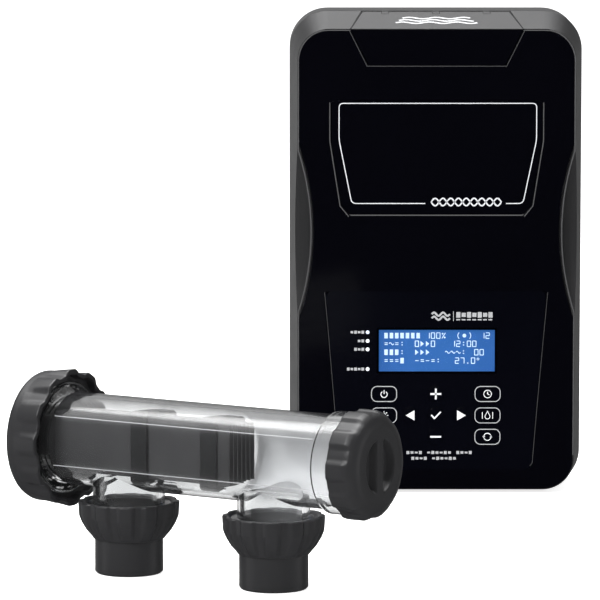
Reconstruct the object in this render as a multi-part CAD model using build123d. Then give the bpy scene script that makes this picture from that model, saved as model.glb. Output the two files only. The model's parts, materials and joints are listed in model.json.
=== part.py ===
from build123d import *
import os

# Salt chlorine generator: a wall controller and, in front of it, a clear cell in two pipe unions.
# Millimetres, +Z up. The controller faces -Y with +X to its right. Both units stand on z = 0, and the
# finished model is moved so that the middle of its footprint is the origin.

# ---- controller case: its own frame has the fascia's front face on y = 0 and its middle on x = 0
CASE_W = 260.0
CASE_H = 427.0
CASE_D = 105.0
CASE_R = 34.0
WALL = 3.0
BACK_ROUND = 7.0
FASCIA_W = 246.0
FASCIA_R = 28.0
FASCIA_LOW = 3.0
FASCIA_TOP = 413.5
FASCIA_T = 4.0
FRAME_FRONT = 1.0
SLOPE_END = 40.0
FRAME_END = 46.0
FRAME_LIP = 0.9
FRAME_WALL = 4.0
FRAME_BORDER_BACK = 8.0
SEAL_T = 1.5

# ---- scoops at the waist: a dished cut behind a bevelled arc
SCOOP_MID_Z = 234.0
SCOOP_REACH = 109.8
SCOOP_ARC_R = 233.0
SCOOP_BEVEL = 1.6
SCOOP_DEPTH = 12.0
SCOOP_DISH_R = 250.0

# ---- top flap, its knuckle hinge and the well under it
FLAP_FRONT_HALF = 76.9
FLAP_BACK_HALF = 66.3
FLAP_LOW_HALF = 61.0
FLAP_RELIEF_Y = 34.0
FLAP_RELIEF_HALF = 65.9
FLAP_LOW_Z = 381.0
FLAP_T = 3.0
FLAP_GAP = 0.7
HINGE_Y = 37.0
HINGE_DROP = 2.6
HINGE_PIN_R = 1.2
KNUCKLE_X = (-45.0, 0.0, 45.0)
KNUCKLE_W = 6.0
WELL_FLOOR_Z = 377.0
SERVICE_AT = (26.0, 22.0)
SERVICE_BORE_R = 6.4
WELL_BACK_Y = 41.0
WELL_HALF_WIDE = 90.0
HIGH = 500.0

# ---- badge window and keypad on the fascia, as half widths and heights
BADGE_POINTS = ((94.0, 350.0), (94.0, 313.0), (84.5, 257.0), (76.5, 249.0))
BADGE_RECESS = 1.5
KEYPAD_TOP = (99.0, 182.0)
KEYPAD_LOW = (85.5, 20.0)
KEYPAD_T = 3.6
INLAY_GAP = 0.3

# ---- display and indicators
LENS_W = 106.8
LENS_H = 41.2
LENS_X = 0.8
LENS_Z = 127.5
LENS_T = 2.0
MODULE_W = 118.0
MODULE_H = 50.0
LIGHT_X = -60.7
LIGHT_Z = (144.3, 136.5, 129.0, 111.3)
LIGHT_R = 1.6

# ---- keys: name, middle x, middle z, width
OVAL_W = 24.0
OVAL_H = 14.5
ROUND_D = 14.0
KEY_ROWS = (89.0, 69.8, 50.6)
KEY_COLUMN = 46.0
ARROW_STEP = 22.6
KEYS = (
    ("key_power", -KEY_COLUMN, KEY_ROWS[0], OVAL_W),
    ("key_lights", -KEY_COLUMN, KEY_ROWS[1], OVAL_W),
    ("key_spa", -KEY_COLUMN, KEY_ROWS[2], OVAL_W),
    ("key_timer", KEY_COLUMN, KEY_ROWS[0], OVAL_W),
    ("key_salt_test", KEY_COLUMN, KEY_ROWS[1], OVAL_W),
    ("key_filter_clean", KEY_COLUMN, KEY_ROWS[2], OVAL_W),
    ("key_plus", 0.0, KEY_ROWS[0], ROUND_D),
    ("key_minus", 0.0, KEY_ROWS[2], ROUND_D),
    ("key_left", -ARROW_STEP, KEY_ROWS[1], ROUND_D),
    ("key_right", ARROW_STEP, KEY_ROWS[1], ROUND_D),
    ("key_ok", 0.0, KEY_ROWS[1], ROUND_D),
)
KEY_PROUD = 0.35
KEY_GAP = 0.3
KEY_FLANGE = 0.9
KEY_FLANGE_T = 0.9
KEY_TRAVEL = 0.6

# ---- boards and power parts
BOARD_T = 1.6
BOARD_Y = 8.0
BOARD_W = 190.0
BOARD_LOW = 22.0
BOARD_TOP = 192.0
BOARD_FIXINGS = ((-91.0, 28.0), (91.0, 28.0), (-80.0, 187.0), (80.0, 187.0))
POWER_BOARD_Y = 92.0
POWER_BOARD_W = 170.0
POWER_BOARD_LOW = 60.0
POWER_BOARD_TOP = 180.0
BACK_INSIDE_Y = CASE_D - WALL

# ---- connection bay and cable glands in the case's underside
BAY_HALF = 85.0
BAY_FRONT_Y = 58.0
BAY_TOP = 38.0
GLAND_X = (-52.0, 0.0, 52.0)
GLAND_Y = 82.0
GLAND_SHANK_R = 10.0
GLAND_BORE_R = 5.0
GLAND_HEX_R = 13.5

# ---- fastenings
COVER_SCREW_X = 121.8
COVER_SCREWS = [(x, z) for z in (45.0, 128.0, 345.0) for x in (-COVER_SCREW_X, COVER_SCREW_X)]
BOSS_R = 4.6
SCREW_R = 1.9
SCREW_HEAD_R = 3.6
BRACKET_W = 176.0
BRACKET_H = 86.0
BRACKET_T = 2.0
BRACKET_STANDOFF = 5.0
BRACKET_Z = 300.0
WALL_HOLE_X = 140.0
WALL_HOLE_Z = 50.0
WALL_HOLE_R = 2.75
BRACKET_SCREW_X = 40.0

# ---- where the cell stands in front of the controller, and how far it is turned
CELL_X = -200.0
CELL_Y = -440.0
CELL_YAW = 32.0

# ---- cell: its own frame has x along the tube, the ports at x = +-PORT_X and the tube's axis at AXIS_Z
AXIS_Z = 105.0
TUBE_R = 37.5
TUBE_BORE_R = 34.0
PORT_X = 69.0
NECK_R = 29.0
PORT_BORE_R = 24.0
PORT_FACE_Z = 48.5
PORT_THREAD_R = 34.0
PORT_THREAD_TOP = 56.5
HEAD_END_X = -142.0
HEAD_BOSS_R = 43.2
HEAD_THREAD_R = 45.0
HEAD_BOSS_END = -127.0
HEAD_THREADS = (-140.5, -136.0, -131.5)
HEAD_THREAD_W = 3.0
CAP_FLANGE_X = 128.0
CAP_STOP_X = 142.5
CAP_FLANGE_R = 40.6
CAP_THREAD_R = 38.3
CAP_END_X = 152.0

# ---- union: tail, seal and nut
TAIL_R = 27.5
TAIL_SOCKET_R = 24.3
TAIL_SOCKET_DEPTH = 27.0
TAIL_BORE_R = 20.0
TAIL_FLANGE_R = 33.0
TAIL_FLANGE_LOW = 41.0
TAIL_TOP = 46.0
NUT_LOW = 28.0
NUT_TOP = 58.5
NUT_LIP_R = 28.0
NUT_LIP_TOP = 40.7
NUT_BORE_R = 34.35
NUT_R = 39.4
NUT_LOBE = 1.6
NUT_LOBES = 12
NUT_LOBE_ARC = 20.0

# ---- electrode
HEAD_FLANGE_X = -150.0
HEAD_SEAT_X = -144.6
HEAD_PLUG_R = 33.4
HEAD_PLUG_END = -127.0
HEAD_CUP_R = 27.0
HEAD_CUP_FLOOR = -134.0
PLATE_COUNT = 7
PLATE_STEP = 6.0
PLATE_T = 1.2
PLATE_H = 47.0
PLATE_END = 40.0
SPACER_X = (-44.0, 22.0)
SPACER_W = 15.0
SPACER_HALF = 22.0
SPACER_HIGH = 56.0
TERMINAL_Y = (-12.0, 12.0)
TERMINAL_R = 3.0

# ---- collar and end cap
COLLAR_FAR = -154.0
COLLAR_NEAR = -123.0
COLLAR_R = 53.0
COLLAR_BORE_R = 45.5
COLLAR_MOUTH_R = 49.5
COLLAR_HOLE_R = 36.0
COLLAR_LOBES = 12
COLLAR_LOBE_ARC = 19.0
CAP_FAR = 143.0
CAP_NEAR = 167.5
CAP_R = 42.0
CAP_LOBES = 14
CAP_LOBE_ARC = 14.0
CAP_BORE_R = 38.7
CAP_INNER_X = 154.0
GRIP_R = 22.0
GRIP_DEPTH = 9.0
GRIP_BAR = 10.0


# ---------------------------------------------------------------- small builders
def slab(outline, y0, y1):
    """A flat outline drawn as (x, z), made solid between the depths y0 and y1."""
    return extrude(Plane.XZ.offset(-y1) * outline, amount=y1 - y0)


def brick(x, y, z):
    """A block between three (low, high) pairs."""
    middle = Pos((x[0] + x[1]) / 2, (y[0] + y[1]) / 2, (z[0] + z[1]) / 2)
    return middle * Box(x[1] - x[0], y[1] - y[0], z[1] - z[0])


def rod_x(radius, x0, x1, y=0.0, z=AXIS_Z):
    """A round bar along X."""
    return Pos((x0 + x1) / 2, y, z) * Rot(0, 90, 0) * Cylinder(radius, x1 - x0)


def rod_y(radius, x, z, y0, y1):
    """A round bar along Y."""
    return Pos(x, (y0 + y1) / 2, z) * Rot(90, 0, 0) * Cylinder(radius, y1 - y0)


def rod_z(radius, x, y, z0, z1):
    """A round bar along Z."""
    return Pos(x, y, (z0 + z1) / 2) * Cylinder(radius, z1 - z0)


def hex_z(radius, x, y, z0, z1):
    """A hexagonal bar along Z, by its corner radius."""
    return Pos(x, y, z0) * extrude(RegularPolygon(radius, 6), amount=z1 - z0)


def flat(points):
    """A closed flat outline through the points."""
    return make_face(Polyline(*points, close=True))


def mirrored(half_points):
    """A closed outline from its right half, listed downwards."""
    left = [(-x, z) for x, z in reversed(half_points)]
    return flat(list(half_points) + left)


def joined(shapes):
    """All the shapes fused, or side by side where they don't touch."""
    total = shapes[0]
    for shape in shapes[1:]:
        total = total + shape
    return total


def turned(points, axis, arc=360.0):
    """A profile drawn as (x, z) turned about an axis through the origin."""
    return revolve(Plane.XZ * flat(points), axis, revolution_arc=arc)


# ---------------------------------------------------------------- controller
def fascia_outline(inset=0.0):
    high = FASCIA_TOP - FASCIA_LOW
    middle = Pos(0, (FASCIA_TOP + FASCIA_LOW) / 2)
    return middle * RectangleRounded(FASCIA_W - 2 * inset, high - 2 * inset, FASCIA_R - inset)


def case_outline(inset=0.0):
    return Pos(0, CASE_H / 2) * RectangleRounded(CASE_W - 2 * inset, CASE_H - 2 * inset, CASE_R - inset)


def frame_body(inset, front):
    """The front frame's outer form, or its hollow: a taper from the fascia's outline, then a band."""
    near = (Plane.XZ.offset(-front) * fascia_outline(inset)).face()
    far = (Plane.XZ.offset(-SLOPE_END) * case_outline(inset)).face()
    return loft([near, far]) + slab(case_outline(inset), SLOPE_END, FRAME_END)


def scoop_wall(side, grow=0.0):
    """The bevelled round cutter of one scoop, wider at the front."""
    depth = SCOOP_DEPTH + grow + 1.0
    cone = Cone(SCOOP_ARC_R + grow - SCOOP_BEVEL, SCOOP_ARC_R + grow + SCOOP_BEVEL, depth)
    return Pos(side * (SCOOP_REACH + SCOOP_ARC_R), depth / 2 - 1.0, SCOOP_MID_Z) * Rot(90, 0, 0) * cone


def scoop(side, grow=0.0):
    """One scoop: the bevelled cutter, with a floor dished about a level axis."""
    dish = Pos(side * CASE_W / 2, SCOOP_DEPTH + grow - SCOOP_DISH_R, SCOOP_MID_Z)
    return scoop_wall(side, grow) & (dish * Rot(0, 90, 0) * Cylinder(SCOOP_DISH_R, CASE_W / 2))


def slope_z(y):
    """Height of the sloped top strip at depth y."""
    return FASCIA_TOP + (CASE_H - FASCIA_TOP) * (y - FRAME_FRONT) / (SLOPE_END - FRAME_FRONT)


def well_half(y):
    """Half width of the flap's opening at depth y."""
    return FLAP_FRONT_HALF + (FLAP_BACK_HALF - FLAP_FRONT_HALF) * y / SLOPE_END


def well_plan():
    """The flap opening's tapering plan, through the whole height."""
    return upright(((well_half(0.0), 0.0), (well_half(WELL_BACK_Y), WELL_BACK_Y)))


def flap_plan():
    """The flap's plan: a gap inside the opening, drawn in beside the hinge so its corners clear."""
    near = FLAP_RELIEF_Y - 4.0
    points = (
        (well_half(0.0) - FLAP_GAP, 0.0),
        (well_half(near) - FLAP_GAP, near),
        (FLAP_RELIEF_HALF, FLAP_RELIEF_Y),
        (FLAP_RELIEF_HALF - 0.4, WELL_BACK_Y),
    )
    return upright(points)


def upright(half_points):
    """A symmetrical plan from its right half, as (x, y), made solid through the whole height."""
    return extrude(mirrored(half_points), amount=HIGH)


def flap_front(gap, y0, y1):
    """The flap's tapering front, made solid between two depths."""
    low = FLAP_LOW_Z + gap
    half = FLAP_FRONT_HALF - gap
    points = ((half, CASE_H), (half, FASCIA_TOP), (FLAP_LOW_HALF - gap, low))
    return slab(mirrored(points), y0, y1)


def front_frame():
    """Charcoal ring behind the fascia, with the scoops, the flap's well and the cover screws' bosses."""
    body = frame_body(0.0, FRAME_FRONT)
    window = Pos(0, 194.0) * RectangleRounded(200.0, 348.0, 10.0)
    hollow = frame_body(FRAME_WALL, FRAME_BORDER_BACK) + slab(window, 0.0, FRAME_BORDER_BACK + 1.0)
    hollow = hollow - scoop(-1, 3.0) - scoop(1, 3.0)
    well_block = brick((-82, 82), (FRAME_FRONT, FRAME_END), (WELL_FLOOR_Z - 3.0, CASE_H))
    hollow = hollow - well_block
    hollow = hollow - joined([rod_y(BOSS_R, x, z, 30.0, FRAME_END) for x, z in COVER_SCREWS])
    pocket = slab(fascia_outline(FRAME_LIP - 0.1), 0.0, FASCIA_T) - scoop_wall(-1) - scoop_wall(1)
    wide = (-WELL_HALF_WIDE, WELL_HALF_WIDE)
    well = well_plan() & brick(wide, (0, WELL_BACK_Y), (WELL_FLOOR_Z, HIGH))
    leg = FASCIA_T + 3.0
    well = well & (flap_front(0.0, -1.0, leg) + brick(wide, (leg, CASE_D), (0, HIGH)))
    frame = body - hollow - pocket - scoop(-1) - scoop(1) - well
    lug_y = (HINGE_Y - 3.0, WELL_BACK_Y + 1.0)
    lug_z = (slope_z(HINGE_Y) - 8.0, CASE_H)
    lugs = [brick((x - KNUCKLE_W / 2, x + KNUCKLE_W / 2), lug_y, lug_z) for x in KNUCKLE_X]
    frame = frame + (joined(lugs) & body)
    holes = [rod_y(SCREW_R, x, z, 32.0, FRAME_END) for x, z in COVER_SCREWS]
    return frame - joined(holes) - hinge_rod(HINGE_PIN_R)


def hinge_rod(radius):
    half = KNUCKLE_X[-1] + KNUCKLE_W / 2 + 6.0
    return rod_x(radius, -half, half, HINGE_Y, slope_z(HINGE_Y) - HINGE_DROP)


def flap_cover():
    """Charcoal lid over the well: a sloped plate, a front leg and the hinge barrel along its back edge."""
    back = HINGE_Y + 1.6
    brow = FASCIA_TOP - FRAME_LIP + 0.1
    profile = [
        (FRAME_FRONT, brow),
        (FRAME_FRONT, FASCIA_TOP),
        (back, slope_z(back)),
        (back, slope_z(back) - FLAP_T),
        (FASCIA_T + 2.6, slope_z(FASCIA_T + 2.6) - FLAP_T),
        (FASCIA_T + 2.6, FLAP_LOW_Z + 3.0),
        (FASCIA_T, FLAP_LOW_Z + 3.0),
        (FASCIA_T, brow),
    ]
    plate = Pos(-90, 0, 0) * extrude(Plane.YZ * flat(profile), amount=180.0)
    plate = plate + rod_x(2.4, -60.0, 60.0, HINGE_Y, slope_z(HINGE_Y) - HINGE_DROP)
    leg = FASCIA_T + 2.7
    wide = (-WELL_HALF_WIDE, WELL_HALF_WIDE)
    plate = plate & flap_plan() & (flap_front(FLAP_GAP, -1.0, leg) + brick(wide, (leg, CASE_D), (0, HIGH)))
    gap = KNUCKLE_W / 2 + 0.4
    notches = [brick((x - gap, x + gap), (HINGE_Y - 3.6, CASE_D), (FLAP_LOW_Z, HIGH)) for x in KNUCKLE_X]
    return plate - joined(notches) - hinge_rod(HINGE_PIN_R + 0.05)


def flap_trim():
    """The flap's gloss front, flush with the fascia."""
    trim = flap_front(FLAP_GAP, 0.0, FASCIA_T) & slab(fascia_outline(FRAME_LIP), -1.0, FASCIA_T)
    return trim & brick((-90, 90), (-1, 10), (300, FASCIA_TOP - FRAME_LIP))


def flap_hinge_pin():
    half = KNUCKLE_X[-1] + KNUCKLE_W / 2 + 4.0
    return rod_x(HINGE_PIN_R, -half, half, HINGE_Y, slope_z(HINGE_Y) - HINGE_DROP)


def service_port():
    """Round service socket on the well's floor, under the flap."""
    barrel = rod_z(8.0, *SERVICE_AT, WELL_FLOOR_Z, WELL_FLOOR_Z + 10.0)
    return barrel - rod_z(SERVICE_BORE_R, *SERVICE_AT, WELL_FLOOR_Z + 2.0, WELL_FLOOR_Z + 11.0)


def badge_outline(inset=0.0):
    face = mirrored(BADGE_POINTS)
    face = fillet(face.vertices(), 4.0)
    return offset(face, -inset) if inset else face


def keypad_outline(inset=0.0):
    face = mirrored((KEYPAD_TOP, KEYPAD_LOW))
    face = fillet(face.vertices(), 7.0)
    return offset(face, -inset) if inset else face


def fascia_panel():
    """Gloss black plate in the frame, cut for the badge panel, the keypad, the flap and the scoops."""
    plate = slab(fascia_outline(FRAME_LIP), 0.0, FASCIA_T)
    plate = chamfer(plate.faces().sort_by(Axis.Y)[0].edges(), 0.7)
    plate = plate - slab(badge_outline(), -1.0, FASCIA_T + 1) - slab(keypad_outline(), -1.0, FASCIA_T + 1)
    plate = plate - flap_front(0.0, -1.0, FASCIA_T + 1)
    plate = plate - scoop_wall(-1, 0.25) - scoop_wall(1, 0.25)
    inner = [e for e in plate.faces().sort_by(Axis.Y)[0].inner_wires().edges()]
    plate = chamfer(inner, 0.9)
    bosses = []
    for x, z in BOARD_FIXINGS:
        bosses.append(rod_y(3.4, x, z, FASCIA_T, BOARD_Y) - rod_y(1.25, x, z, FASCIA_T, BOARD_Y))
    return joined([plate] + bosses)


def badge_panel():
    """Inset panel behind the upper window, a step below the fascia."""
    return slab(badge_outline(INLAY_GAP), BADGE_RECESS, FASCIA_T)


def key_outline(width, grow=0.0):
    if width == ROUND_D:
        return Circle(ROUND_D / 2 + grow)
    return RectangleRounded(OVAL_W + 2 * grow, OVAL_H + 2 * grow, 5.6 + grow)


def keypad_overlay():
    """Black keypad plate with holes for the keys, the display and the indicator lights."""
    plate = slab(keypad_outline(INLAY_GAP), 0.0, KEYPAD_T)
    plate = chamfer(plate.faces().sort_by(Axis.Y)[0].edges(), 0.8)
    for _, x, z, width in KEYS:
        plate = plate - slab(Pos(x, z) * key_outline(width, KEY_GAP), -1.0, KEYPAD_T + 1)
    plate = plate - slab(Pos(LENS_X, LENS_Z) * RectangleRounded(LENS_W, LENS_H, 1.5), -1.0, LENS_T + 0.2)
    plate = plate - slab(Pos(LENS_X, LENS_Z) * Rectangle(LENS_W - 4, LENS_H - 4), -1.0, KEYPAD_T + 1)
    for z in LIGHT_Z:
        plate = plate - rod_y(LIGHT_R, LIGHT_X, z, -1.0, KEYPAD_T + 1)
    return plate


def key(x, z, width):
    """One key: a cap that stands a little proud, held by a flange behind the overlay."""
    cap = slab(Pos(x, z) * key_outline(width), -KEY_PROUD, KEYPAD_T + 0.05)
    cap = fillet(cap.faces().sort_by(Axis.Y)[0].edges(), 0.3)
    flange = slab(Pos(x, z) * key_outline(width, KEY_FLANGE), KEYPAD_T + 0.05, KEYPAD_T + 0.05 + KEY_FLANGE_T)
    return cap + flange


def display_lens():
    outline = Pos(LENS_X, LENS_Z) * RectangleRounded(LENS_W - 0.2, LENS_H - 0.2, 1.4)
    return slab(outline, 0.2, LENS_T + 0.2)


def display_module():
    """Display glass in a metal bezel, standing on the control board."""
    body = slab(Pos(LENS_X, LENS_Z) * RectangleRounded(MODULE_W, MODULE_H, 2.0), KEYPAD_T, BOARD_Y)
    return body - slab(Pos(LENS_X, LENS_Z) * Rectangle(LENS_W + 2, LENS_H + 2), 0.0, KEYPAD_T + 0.6)


def indicator_lights():
    return joined([rod_y(LIGHT_R, LIGHT_X, z, -0.1, BOARD_Y) for z in LIGHT_Z])


def key_switches():
    """A switch on the board behind each key."""
    top = KEYPAD_T + 0.05 + KEY_FLANGE_T + KEY_TRAVEL + 0.15
    parts = []
    for _, x, z, _ in KEYS:
        body = brick((x - 3, x + 3), (top + 0.8, BOARD_Y), (z - 3, z + 3))
        parts.append(body + rod_y(1.7, x, z, top, top + 0.8))
    return joined(parts)


def control_board():
    board = slab(Pos(0, (BOARD_LOW + BOARD_TOP) / 2) * RectangleRounded(BOARD_W, BOARD_TOP - BOARD_LOW, 4.0),
                 BOARD_Y, BOARD_Y + BOARD_T)
    chip = brick((-14, 14), (BOARD_Y + BOARD_T, BOARD_Y + BOARD_T + 3), (60, 88))
    header = brick((-70, -30), (BOARD_Y + BOARD_T, BOARD_Y + BOARD_T + 9), (150, 158))
    return board + chip + header - joined([rod_y(1.5, x, z, 0, 20) for x, z in BOARD_FIXINGS])


def board_screws():
    rear = BOARD_Y + BOARD_T
    screws = []
    for x, z in BOARD_FIXINGS:
        screws.append(rod_y(1.25, x, z, BOARD_Y - 3.5, rear) + rod_y(2.8, x, z, rear, rear + 2))
    return joined(screws)


def case_seal():
    """Flat seal in the joint between the front frame and the rear case."""
    return slab(case_outline(0.6), FRAME_END, FRAME_END + SEAL_T) - slab(case_outline(WALL), 0, 60)


def rear_case():
    """Back shell with rounded back edges, screw bosses, board posts, bracket pads and the connection bay."""
    front = FRAME_END + SEAL_T
    shell = slab(case_outline(), front, CASE_D)
    shell = fillet(shell.faces().sort_by(Axis.Y)[-1].edges(), BACK_ROUND)
    room = slab(case_outline(WALL), front - 1, BACK_INSIDE_Y)
    half = BAY_HALF + WALL
    room = room - brick((-half, half), (BAY_FRONT_Y - WALL, CASE_D), (0, BAY_TOP + WALL))
    room = room - joined([rod_y(BOSS_R, x, z, front - 1, CASE_D) for x, z in COVER_SCREWS])
    posts = [(x, z) for x in (-78.0, 78.0) for z in (POWER_BOARD_LOW + 6, POWER_BOARD_TOP - 6)]
    room = room - joined([rod_y(4.0, x, z, POWER_BOARD_Y + BOARD_T, CASE_D) for x, z in posts])
    bay = brick((-BAY_HALF, BAY_HALF), (BAY_FRONT_Y, CASE_D + 1), (-1, BAY_TOP))
    pads = []
    for x in (-BRACKET_SCREW_X, BRACKET_SCREW_X):
        pads.append(rod_y(6.0, x, BRACKET_Z, CASE_D - 1, CASE_D + BRACKET_STANDOFF))
    shell = joined([shell - room - bay] + pads)
    cuts = [rod_y(SCREW_R, x, z, front - 1, CASE_D + 1) for x, z in COVER_SCREWS]
    cuts += [rod_y(SCREW_HEAD_R + 0.3, x, z, CASE_D - 4, CASE_D + 1) for x, z in COVER_SCREWS]
    for x in (-BRACKET_SCREW_X, BRACKET_SCREW_X):
        cuts.append(rod_y(2.0, x, BRACKET_Z, CASE_D - WALL - 1, CASE_D + 20))
    cuts += [rod_z(GLAND_SHANK_R + 0.1, x, GLAND_Y, BAY_TOP - 1, BAY_TOP + WALL + 1) for x in GLAND_X]
    return shell - joined(cuts)


def cover_screws():
    """Screws from the back of the case into the frame's bosses."""
    seat = CASE_D - 4.0
    screws = []
    for x, z in COVER_SCREWS:
        screws.append(rod_y(SCREW_R, x, z, 33.0, seat) + rod_y(SCREW_HEAD_R, x, z, seat, CASE_D - 1))
    return joined(screws)


def wall_bracket():
    """Steel plate with two bent edges that stand on the case's back, and four round wall holes."""
    rear = CASE_D + BRACKET_STANDOFF
    plate = slab(Pos(0, BRACKET_Z) * RectangleRounded(BRACKET_W, BRACKET_H, 6.0), rear, rear + BRACKET_T)
    for side in (-1, 1):
        edge = side * (BRACKET_W / 2 - BRACKET_T / 2)
        plate = plate + brick((edge - 1, edge + 1), (CASE_D, rear), (BRACKET_Z - 30, BRACKET_Z + 30))
        plate = plate - rod_y(2.2, side * BRACKET_SCREW_X, BRACKET_Z, rear - 1, rear + 5)
        for z in (BRACKET_Z - WALL_HOLE_Z / 2, BRACKET_Z + WALL_HOLE_Z / 2):
            plate = plate - rod_y(WALL_HOLE_R, side * WALL_HOLE_X / 2, z, rear - 1, rear + 5)
    return plate


def bracket_screws():
    rear = CASE_D + BRACKET_STANDOFF + BRACKET_T
    screws = []
    for x in (-BRACKET_SCREW_X, BRACKET_SCREW_X):
        screws.append(rod_y(1.95, x, BRACKET_Z, CASE_D, rear) + rod_y(4.0, x, BRACKET_Z, rear, rear + 2))
    return joined(screws)


def power_board():
    outline = Pos(0, (POWER_BOARD_LOW + POWER_BOARD_TOP) / 2)
    outline = outline * RectangleRounded(POWER_BOARD_W, POWER_BOARD_TOP - POWER_BOARD_LOW, 3.0)
    return slab(outline, POWER_BOARD_Y, POWER_BOARD_Y + BOARD_T)


def capacitors():
    return joined([rod_y(11.0, x, 158.0, POWER_BOARD_Y - 36, POWER_BOARD_Y) for x in (-62.0, -36.0, -10.0)])


def relay():
    return brick((14, 44), (POWER_BOARD_Y - 22, POWER_BOARD_Y), (146, 168))


def fuse_holder():
    body = rod_x(5.0, 8.0, 44.0, POWER_BOARD_Y - 9, 124.0)
    feet = [brick((x - 2, x + 2), (POWER_BOARD_Y - 9, POWER_BOARD_Y), (121, 127)) for x in (10.5, 41.5)]
    return joined([body] + feet)


def terminal_block():
    """Six-way screw terminal block along the lower edge of the power board."""
    block = brick((-36, 36), (POWER_BOARD_Y - 18, POWER_BOARD_Y), (68, 84))
    ways = [-30.0 + 12.0 * i for i in range(6)]
    block = block - joined([rod_z(3.0, x, POWER_BOARD_Y - 8, 60, 76) for x in ways])
    return block - joined([rod_y(2.6, x, 78.0, POWER_BOARD_Y - 20, POWER_BOARD_Y - 13) for x in ways])


def transformer_core():
    """Laminated core with two windows, standing off the case's back wall."""
    core = brick((-42, 42), (BACK_INSIDE_Y - 46, BACK_INSIDE_Y - 6), (200, 270))
    windows = [brick((x - 7, x + 7), (40, 110), (214, 256)) for x in (-21.0, 21.0)]
    feet = [brick((x - 6, x + 6), (BACK_INSIDE_Y - 6, BACK_INSIDE_Y), (200, 270)) for x in (-36.0, 36.0)]
    return joined([core - joined(windows)] + feet)


def transformer_winding():
    """Coil round the core's middle leg."""
    coil = brick((-27.5, 27.5), (BACK_INSIDE_Y - 58, BACK_INSIDE_Y - 0.5), (215, 255))
    coil = fillet(coil.edges().filter_by(Axis.Z), 6.0)
    leg = brick((-14.1, 14.1), (BACK_INSIDE_Y - 46.1, BACK_INSIDE_Y - 5.9), (200, 270))
    return coil - leg


def heat_sink():
    """Finned sink on the case's back wall, with the rectifier on its face."""
    low, high = 290.0, 366.0
    base = brick((-66, 66), (BACK_INSIDE_Y - 5, BACK_INSIDE_Y), (low, high))
    fins = []
    for x in (*range(-65, -19, 6), *range(23, 66, 6)):
        fins.append(brick((x - 1, x + 1), (BACK_INSIDE_Y - 30, BACK_INSIDE_Y - 5), (low, high)))
    pads = []
    for x in (-BRACKET_SCREW_X, BRACKET_SCREW_X):
        pads.append(rod_y(2.2, x, BRACKET_Z, BACK_INSIDE_Y - 6, BACK_INSIDE_Y + 1))
    return joined([base] + fins) - joined(pads)


def rectifier():
    return brick((-14, 14), (BACK_INSIDE_Y - 15, BACK_INSIDE_Y - 5), (312, 340))


def gland_bodies():
    """Threaded shank through the bay's roof, with a hexagonal shoulder below it."""
    glands = []
    for x in GLAND_X:
        shank = rod_z(GLAND_SHANK_R, x, GLAND_Y, BAY_TOP - 14, BAY_TOP + 13)
        shoulder = hex_z(GLAND_HEX_R, x, GLAND_Y, BAY_TOP - 6, BAY_TOP)
        glands.append(shank + shoulder - rod_z(GLAND_BORE_R, x, GLAND_Y, 0, 80))
    return joined(glands)


def gland_nuts():
    """Domed clamping nuts under the glands."""
    top = BAY_TOP - 6.3
    nuts = []
    for x in GLAND_X:
        nut = hex_z(GLAND_HEX_R, x, GLAND_Y, top - 12, top) & rod_z(12.6, x, GLAND_Y, top - 12, top)
        dome = Pos(x, GLAND_Y, top - 16) * Cone(8.0, 11.4, 8.0)
        nut = nut + dome - rod_z(GLAND_SHANK_R, x, GLAND_Y, BAY_TOP - 14, 80)
        nuts.append(nut - rod_z(GLAND_BORE_R, x, GLAND_Y, 0, 80))
    return joined(nuts)


def gland_lock_nuts():
    roof = BAY_TOP + WALL
    nuts = []
    for x in GLAND_X:
        nuts.append(hex_z(GLAND_HEX_R, x, GLAND_Y, roof, roof + 5) - rod_z(GLAND_SHANK_R, x, GLAND_Y, 0, 80))
    return joined(nuts)


# ---------------------------------------------------------------- cell
def cell_housing():
    """Clear tube with a threaded boss for the collar, a flange and thread for the end cap, and two ports."""
    tube = rod_x(TUBE_R, HEAD_BOSS_END, CAP_FLANGE_X) + rod_x(HEAD_BOSS_R, HEAD_END_X, HEAD_BOSS_END)
    slope_end = HEAD_BOSS_END + 6.0
    shoulder = [(HEAD_BOSS_END, 0), (HEAD_BOSS_END, HEAD_BOSS_R), (slope_end, TUBE_R), (slope_end, 0)]
    tube = tube + Pos(0, 0, AXIS_Z) * turned(shoulder, Axis.X)
    for x in HEAD_THREADS:
        tube = tube + rod_x(HEAD_THREAD_R, x, x + HEAD_THREAD_W)
    tube = tube + rod_x(CAP_FLANGE_R, CAP_FLANGE_X, CAP_STOP_X) + rod_x(CAP_THREAD_R, CAP_STOP_X, CAP_END_X)
    for x in (-PORT_X, PORT_X):
        tube = tube + rod_z(NECK_R, x, 0, PORT_THREAD_TOP, AXIS_Z)
        tube = tube + rod_z(PORT_THREAD_R, x, 0, PORT_FACE_Z, PORT_THREAD_TOP)
    tube = tube - rod_x(TUBE_BORE_R, HEAD_END_X, CAP_END_X)
    for x in (-PORT_X, PORT_X):
        tube = tube - rod_z(PORT_BORE_R, x, 0, PORT_FACE_Z, AXIS_Z)
    return tube


def union_tail(x):
    """Solvent socket for the pool pipe, with the flange that the nut pulls up."""
    tail = turned([
        (TAIL_SOCKET_R, 0.0), (TAIL_R - 1.5, 0.0), (TAIL_R, 1.5), (TAIL_R, TAIL_FLANGE_LOW),
        (TAIL_FLANGE_R, TAIL_FLANGE_LOW), (TAIL_FLANGE_R, TAIL_TOP), (TAIL_BORE_R, TAIL_TOP),
        (TAIL_BORE_R, TAIL_SOCKET_DEPTH), (TAIL_SOCKET_R, TAIL_SOCKET_DEPTH),
    ], Axis.Z)
    return Pos(x, 0, 0) * tail


def union_seal(x):
    return rod_z(31.0, x, 0, TAIL_TOP, PORT_FACE_Z) - rod_z(24.0, x, 0, TAIL_TOP - 1, PORT_FACE_Z + 1)


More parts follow.
